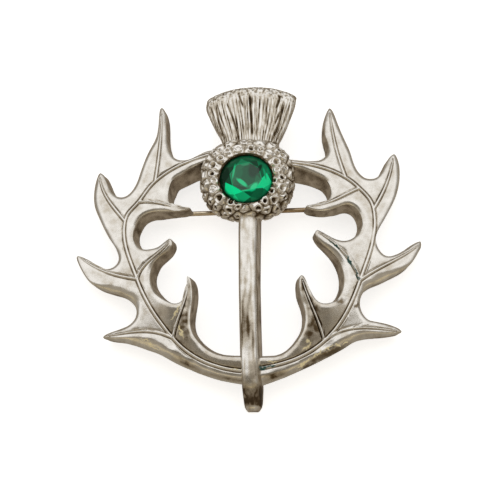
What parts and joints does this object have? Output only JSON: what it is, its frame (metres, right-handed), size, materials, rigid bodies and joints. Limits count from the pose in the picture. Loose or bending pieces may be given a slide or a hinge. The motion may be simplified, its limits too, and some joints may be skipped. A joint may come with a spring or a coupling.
{
  "type": "thistle brooch",
  "caption": "Domed cast thistle brooch: ribbed tuft and scaled head with a round faceted green stone, a stem between two lobed leaves, and a hinged pin behind.",
  "frame": {"origin": "middle of the brooch's outline, on the surface that it lies on face up", "axes": "+X across the leaves to the wearer's view right, +Y from the end of the stem to the tuft, +Z out of the face"},
  "size_m": [0.0501, 0.0482, 0.0086],
  "materials": {
    "cast_metal": "polished and worn, dark brown-grey patina in the grooves and on the walls",
    "green_stone": "polished, faceted, deep green",
    "pin_wire": "drawn wire, dulled"
  },
  "bodies": {
    "brooch": {"casting": "cast_metal", "stone": "green_stone", "hinge_rivet": "pin_wire"},
    "pin": {"pin_stem": "pin_wire"}
  },
  "joints": [
    {"name": "pin_swing", "type": "hinge", "parent": "brooch", "child": "pin", "pos_m": [-0.0166, 0.00532, 0.0014], "axis": [-0.0175, 0.9998, 0], "range_deg": [0, 80]}
  ]
}
